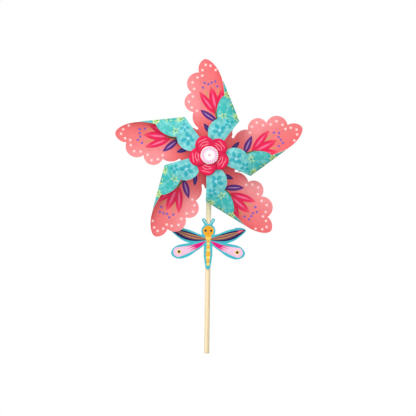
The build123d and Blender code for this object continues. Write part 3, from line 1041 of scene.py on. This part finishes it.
def paint_dragonfly_body(f, x, z, whole):
    """Amber head with a small face, straw-coloured thorax and a tail of beads."""
    wide = x.size()
    thorax = f.drop(vector_of(f.tree, wide, z, 0.0), (0.0, -8.0), (0.0, -10.4), (3.9, 2.6))
    f.lay(AMBER, thorax["Mask"])
    f.lay(STRAW, f.near(whole, ((-1.6, -8.0), (1.6, -8.0), (0.0, -10.0))).rise(2.1, 0.9) * 0.9)
    beads = (
        (-14.6, 1.9), (-18.4, 2.2), (-22.4, 2.5), (-26.6, 2.9),
        (-30.8, 2.5), (-34.4, 2.1), (-38.2, 2.0),
    )
    for index, (height, radius) in enumerate(beads):
        bead = f.near(whole, ((0.0, height),)).rise(radius + 0.25, radius - 0.25)
        f.lay(AMBER if index % 2 else STRAW, bead)
        f.lay(STRAW, f.near(whole, ((-0.5, height + 0.5),)).rise(radius * 0.7, 0.2) * 0.7)
    f.lay(AMBER, f.near(whole, ((0.0, 0.0),)).rise(6.35, 6.05))
    eyes = f.near(whole, ((-3.1, 0.4), (3.1, 0.4)))
    f.lay(INK_BLACK, eyes.rise(1.6, 1.15))
    f.lay(PALE_TEAL, f.near(whole, ((-2.3, 0.2), (2.3, 0.2))).rise(0.55, 0.2) * 0.8)
    smile = (f.near(whole, ((0.0, -1.6),)) - 1.5).size().rise(0.42, 0.15) * z.rise(-2.3, -2.7)
    f.lay(COCOA, smile * 0.8)


def dragonfly_print():
    """Printed cut-out: turquoise border, dark upper and pale lower wings, a beaded body, a small face."""
    f = Finish("dragonfly_print", TURQUOISE, specular=0.14)
    low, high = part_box("dragonfly")
    head = Vector(((low.x + high.x) / 2, low.y, high.z - 14.8 * MM))
    spot = f.millimetres(head)
    x, _, z = parts_of(f.tree, spot)
    half = vector_of(f.tree, x.size(), z, 0.0)
    whole = vector_of(f.tree, x, z, 0.0)
    feeler = f.drop(half, (1.4, 7.6), (5.5, 12.8), (0.35, 0.75))
    f.lay(FEELER, feeler["Mask"] * 0.9)
    paint_lower_wings(f, half)
    paint_upper_wings(f, half)
    paint_dragonfly_body(f, x, z, whole)
    tone = f.group(PAINTED_TONE, Vector=spot, Patch_Size=4.0, Strength=0.10)
    f.tone(tone["Tone"])
    facing = parts_of(f.tree, f.coordinates("Normal"))[1]
    f.lay(BOARD, facing.rise(-0.7, -0.4))
    f.board(spot, 0.5, roughness=0.42)
    return f.done()


def birch():
    """Pale sanded wood: long fine streaks, rings on the cut ends and darker tan patches towards the foot.
    """
    f = Finish("birch", BIRCH, specular=0.25)
    spot = f.millimetres()
    stretched = node_of(f.tree, "ShaderNodeMapping", Vector=spot)
    stretched.inputs["Scale"].default_value = (1.0, 1.0, 0.035)
    grain_spot = Field(f.tree, stretched.outputs[0])
    grain = noise(f.tree, grain_spot, 0.9, 4.0)
    fine = noise(f.tree, grain_spot, 3.4, 3.0)
    f.lay(BIRCH_STREAK, grain.rise(0.48, 0.66) * 0.55)
    f.lay(BIRCH_STREAK, fine.rise(0.58, 0.7) * 0.45)
    x, y, z = parts_of(f.tree, spot)
    facing = parts_of(f.tree, f.coordinates("Normal"))[2].size().rise(0.6, 0.9)
    rings = far(x + 4.0, y - 2.0) * 5.5
    f.lay(BIRCH_STREAK, facing * rings.sin().rise(-0.2, 0.9) * 0.7)
    # the stick is painted darker, in tan patches, towards its foot
    foot_patches = z.rise(9.0, 0.0) * grain.rise(0.35, 0.6)
    f.lay(FOOT_TAN, foot_patches * 0.35)
    feed(f.tree, f.shader.inputs["Roughness"], (fine - 0.5) * 0.3 + 0.62)
    f.bump(fine * 0.6 + grain * 0.4, 0.00006, 0.5)
    return f.done()


def moulded_white():
    """White moulded plastic with a faint skin."""
    f = Finish("moulded_white", PLASTIC_WHITE, specular=0.5)
    spot = f.millimetres()
    skin = noise(f.tree, spot, 1.6, 3.0)
    flow = noise(f.tree, spot, 0.18, 2.0, Distortion=1.0)
    f.tone((flow - 0.5) * 0.08 + 0.98)
    feed(f.tree, f.shader.inputs["Roughness"], (skin - 0.5) * 0.16 + 0.36)
    f.bump(skin, 0.00002, 0.5)
    return f.done()


def foam():
    """Open foam of the adhesive pads, with painted shade in its pores."""
    f = Finish("pad_foam", FOAM, specular=0.2)
    spot = f.millimetres()
    cells = node_of(f.tree, "ShaderNodeTexVoronoi", Vector=spot, Scale=2.6)
    pore = Field(f.tree, cells.outputs["Distance"])
    # painted shade: the pores, which are the low spots of the bump, are painted darker
    f.tone(pore.rise(0.05, 0.5) * 0.22 + 0.8)
    feed(f.tree, f.shader.inputs["Roughness"], pore * 0.2 + 0.75)
    f.bump(pore, 0.00015, 0.7)
    return f.done()


def dress_cad_nodes():
    """Gives each CAD node that stays its own finish."""
    plastic, pad = moulded_white(), foam()
    finishes = {"stick": birch(), "dragonfly": dragonfly_print(), "head_label": label_print()}
    finishes.update({name: plastic for name in ("axle_pin", "hub_bush", "spacer_tube", "back_cap")})
    finishes.update({name: pad for name in ("upper_pad", "lower_pad")})
    for name, material in finishes.items():
        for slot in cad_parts[name].material_slots:
            slot.material = material


# --- lights, backdrop and camera ---
AMBIENT = 0.48
WHITE = (1.0, 1.0, 1.0, 1.0)
BLACK = (0.0, 0.0, 0.0, 1.0)
LAMP_AIM = Vector((0.0, 0.0, 0.2))
BACKDROP_WIDE = 6.0
BACKDROP_LOW = -0.004
CAMERA_AWAY = 1.6
VIEW_TALL = 0.4784
SENSOR = 36.0
CAMERA_LEAN = 0.8
VIEW_MIDDLE = Vector((-0.0008, HUB.y, HUB.z - 0.0598))
LAMPS = (  # name, place, size in metres, power in watts
    ("key", (-0.85, -0.95, 1.15), 0.9, 14.5),
    ("fill", (0.1, -1.3, 0.2), 1.0, 7.0),
    ("back", (0.7, 1.2, 0.7), 0.9, 11.0),
)


def studio():
    scene = bpy.context.scene
    scene.view_settings.view_transform = "Standard"
    world = bpy.data.worlds.new("studio")
    scene.world = world
    world.use_nodes = True
    sky = world.node_tree.nodes["Background"]
    sky.inputs["Color"].default_value = WHITE
    path = world.node_tree.nodes.new("ShaderNodeLightPath")
    seen = Field(world.node_tree, path.outputs["Is Camera Ray"])
    feed(world.node_tree, sky.inputs["Strength"], seen * (1.0 - AMBIENT) + AMBIENT)
    for name, place, size, power in LAMPS:
        lamp = bpy.data.lights.new(name, "AREA")
        lamp.size = size
        lamp.energy = power
        holder = bpy.data.objects.new(name, lamp)
        holder.location = place
        holder.rotation_euler = (LAMP_AIM - Vector(place)).to_track_quat("-Z", "Y").to_euler()
        scene.collection.objects.link(holder)
    floor = Finish("backdrop", BLACK, roughness=0.9, specular=0.0)
    floor.shader.inputs["Emission Color"].default_value = WHITE
    floor.shader.inputs["Emission Strength"].default_value = 1.0
    floor.shader.inputs["Base Color"].default_value = BLACK
    mesh = bpy.data.meshes.new("backdrop")
    corners = ((-1, -1), (1, -1), (1, 1), (-1, 1))
    spots = [(x * BACKDROP_WIDE, y * BACKDROP_WIDE, BACKDROP_LOW) for x, y in corners]
    mesh.from_pydata(spots, [], [(0, 1, 2, 3)])
    mesh.materials.append(floor.material)
    backdrop = bpy.data.objects.new("backdrop", mesh)
    scene.collection.objects.link(backdrop)
    backdrop.visible_diffuse = False
    backdrop.visible_glossy = False


def camera():
    """A long lens square on to the wheel, with the stick leaning a little."""
    lens = bpy.data.cameras.new("camera")
    lens.sensor_width = SENSOR
    lens.lens = SENSOR * CAMERA_AWAY / VIEW_TALL
    holder = bpy.data.objects.new("camera", lens)
    holder.location = VIEW_MIDDLE + Vector((0.0, -CAMERA_AWAY, 0.0))
    holder.rotation_euler = Euler((math.pi / 2, -math.radians(CAMERA_LEAN), 0.0))
    bpy.context.scene.collection.objects.link(holder)
    bpy.context.scene.camera = holder


studio()
camera()
wheel_card()
hub_flower()
dress_cad_nodes()
